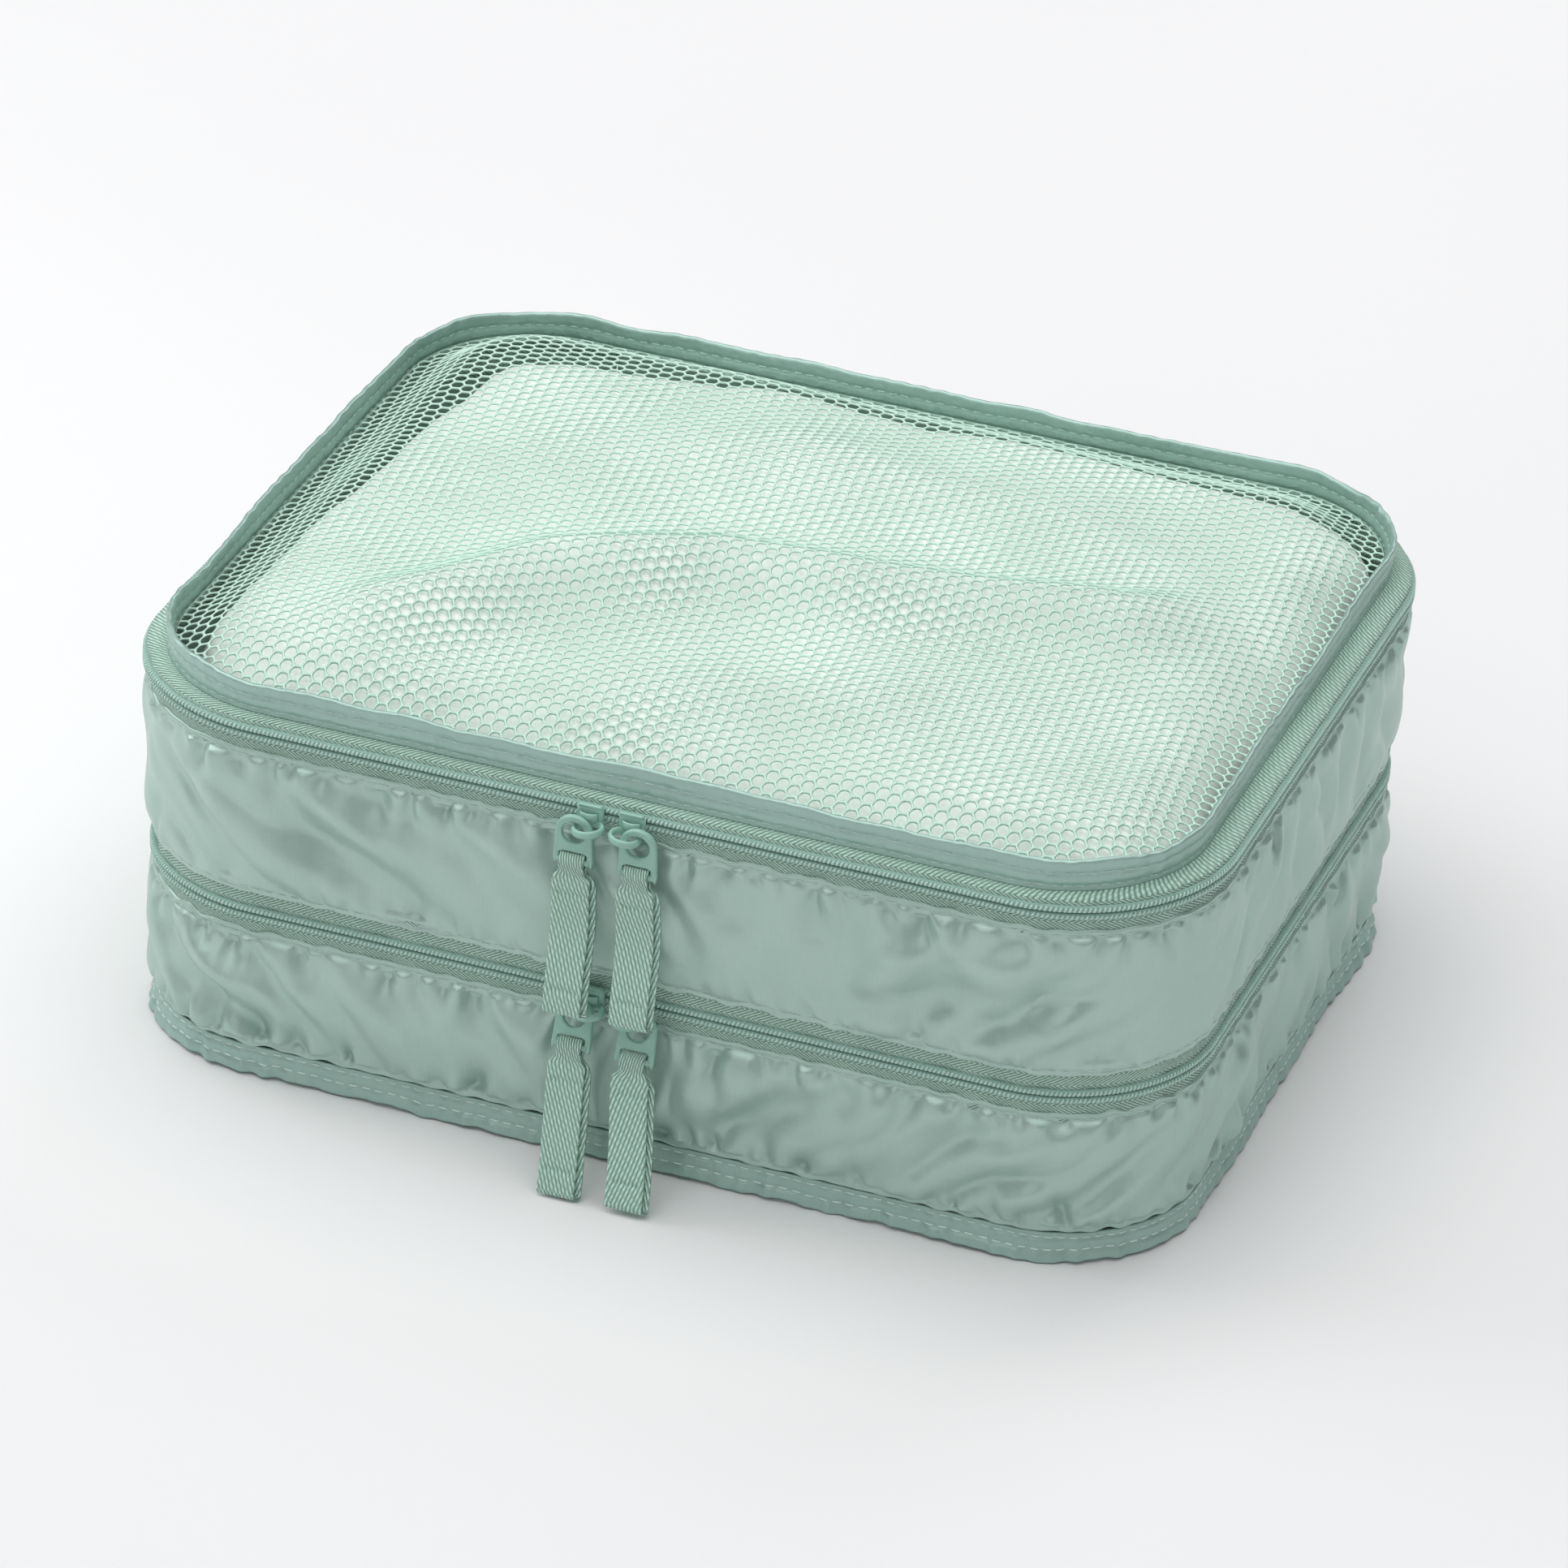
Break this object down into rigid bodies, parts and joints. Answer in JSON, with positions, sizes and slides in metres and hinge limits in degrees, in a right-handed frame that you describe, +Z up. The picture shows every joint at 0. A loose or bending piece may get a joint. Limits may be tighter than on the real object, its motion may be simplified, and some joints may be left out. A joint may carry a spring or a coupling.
{
  "type": "packing cube",
  "caption": "Soft rectangular packing cube with a compartment on top of another, each closed by a zip, and a see-through mesh lid.",
  "frame": {"origin": "middle of the underside, on the surface the cube stands on", "axes": "+X to the right along the long side, -Y to the front where the zip pulls meet, +Z up"},
  "size_m": [0.2678, 0.2281, 0.111],
  "materials": {
    "nylon_cloth": "light grey-green ripstop nylon with a satin sheen, puckered at its seams",
    "seam_binding": "darker grey-green folded nylon tape with two rows of pale stitches",
    "zip_tape": "pale mint polyester tape woven in a herringbone",
    "zip_coil": "mint nylon coil under two rows of pale stitches",
    "net_mesh": "pale mint knitted polyester net with hexagonal holes",
    "lining_cloth": "thin pale green lining cloth",
    "painted_pull": "smooth satin mint paint on cast metal",
    "pull_webbing": "pale mint webbing in a steep twill, folded double"
  },
  "bodies": {
    "base": {"bottom_panel": "nylon_cloth", "base_rim_binding": "seam_binding", "lower_gusset": "nylon_cloth", "lower_zip_lower_tape": "zip_tape", "lower_zip_lower_coil": "zip_coil", "base_hinge_strip": "nylon_cloth"},
    "middle": {"upper_gusset": "nylon_cloth", "divider_panel": "lining_cloth", "lower_zip_upper_tape": "zip_tape", "lower_zip_upper_coil": "zip_coil", "upper_zip_lower_tape": "zip_tape", "upper_zip_lower_coil": "zip_coil", "middle_base_hinge_strip": "nylon_cloth", "middle_lid_hinge_strip": "nylon_cloth"},
    "lid": {"lid_mesh_panel": "net_mesh", "lid_rim_binding": "seam_binding", "upper_zip_upper_tape": "zip_tape", "upper_zip_upper_coil": "zip_coil", "lid_hinge_strip": "nylon_cloth"},
    "upper_left_slider_body": {"upper_left_slider": "painted_pull"},
    "upper_left_tab_body": {"upper_left_pull_tab": "painted_pull"},
    "upper_left_webbing_body": {"upper_left_pull_webbing": "pull_webbing"},
    "upper_right_slider_body": {"upper_right_slider": "painted_pull"},
    "upper_right_tab_body": {"upper_right_pull_tab": "painted_pull"},
    "upper_right_webbing_body": {"upper_right_pull_webbing": "pull_webbing"},
    "lower_left_slider_body": {"lower_left_slider": "painted_pull"},
    "lower_left_tab_body": {"lower_left_pull_tab": "painted_pull"},
    "lower_left_webbing_body": {"lower_left_pull_webbing": "pull_webbing"},
    "lower_right_slider_body": {"lower_right_slider": "painted_pull"},
    "lower_right_tab_body": {"lower_right_pull_tab": "painted_pull"},
    "lower_right_webbing_body": {"lower_right_pull_webbing": "pull_webbing"}
  },
  "joints": [
    {"name": "compartment_hinge", "type": "hinge", "parent": "base", "child": "middle", "pos_m": [0, 0.1044, 0.046], "axis": [-1, 0, 0], "range_deg": [0, 120]},
    {"name": "lid_hinge", "type": "hinge", "parent": "middle", "child": "lid", "pos_m": [0, 0.1074, 0.096], "axis": [-1, 0, 0], "range_deg": [0, 180]},
    {"name": "upper_left_slide", "type": "slide", "parent": "middle", "child": "upper_left_slider_body", "axis": [-1, 0, 0], "range_m": [0, 0.075]},
    {"name": "upper_left_tab_swing", "type": "hinge", "parent": "upper_left_slider_body", "child": "upper_left_tab_body", "pos_m": [-0.01, -0.11075, 0.0922], "axis": [0, 1, 0], "range_deg": [0, 100]},
    {"name": "upper_left_webbing_fold", "type": "hinge", "parent": "upper_left_tab_body", "child": "upper_left_webbing_body", "pos_m": [-0.01, -0.11075, 0.0849], "axis": [-1, 0, 0], "range_deg": [0, 80]},
    {"name": "upper_right_slide", "type": "slide", "parent": "middle", "child": "upper_right_slider_body", "axis": [1, 0, 0], "range_m": [0, 0.075]},
    {"name": "upper_right_tab_swing", "type": "hinge", "parent": "upper_right_slider_body", "child": "upper_right_tab_body", "pos_m": [0.0056, -0.11075, 0.0922], "axis": [0, -1, 0], "range_deg": [0, 100]},
    {"name": "upper_right_webbing_fold", "type": "hinge", "parent": "upper_right_tab_body", "child": "upper_right_webbing_body", "pos_m": [0.0056, -0.11075, 0.0849], "axis": [-1, 0, 0], "range_deg": [0, 80]},
    {"name": "lower_left_slide", "type": "slide", "parent": "base", "child": "lower_left_slider_body", "axis": [-1, 0, 0], "range_m": [0, 0.075]},
    {"name": "lower_left_tab_swing", "type": "hinge", "parent": "lower_left_slider_body", "child": "lower_left_tab_body", "pos_m": [-0.0092, -0.10775, 0.0422], "axis": [0, 0.9588, -0.284], "range_deg": [0, 75]},
    {"name": "lower_left_webbing_fold", "type": "hinge", "parent": "lower_left_tab_body", "child": "lower_left_webbing_body", "pos_m": [-0.0092, -0.10982, 0.0352], "axis": [-1, 0, 0], "range_deg": [0, 80]},
    {"name": "lower_right_slide", "type": "slide", "parent": "base", "child": "lower_right_slider_body", "axis": [1, 0, 0], "range_m": [0, 0.075]},
    {"name": "lower_right_tab_swing", "type": "hinge", "parent": "lower_right_slider_body", "child": "lower_right_tab_body", "pos_m": [0.0064, -0.10775, 0.0422], "axis": [0, -0.9588, 0.284], "range_deg": [0, 75]},
    {"name": "lower_right_webbing_fold", "type": "hinge", "parent": "lower_right_tab_body", "child": "lower_right_webbing_body", "pos_m": [0.0064, -0.10982, 0.0352], "axis": [-1, 0, 0], "range_deg": [0, 80]}
  ]
}
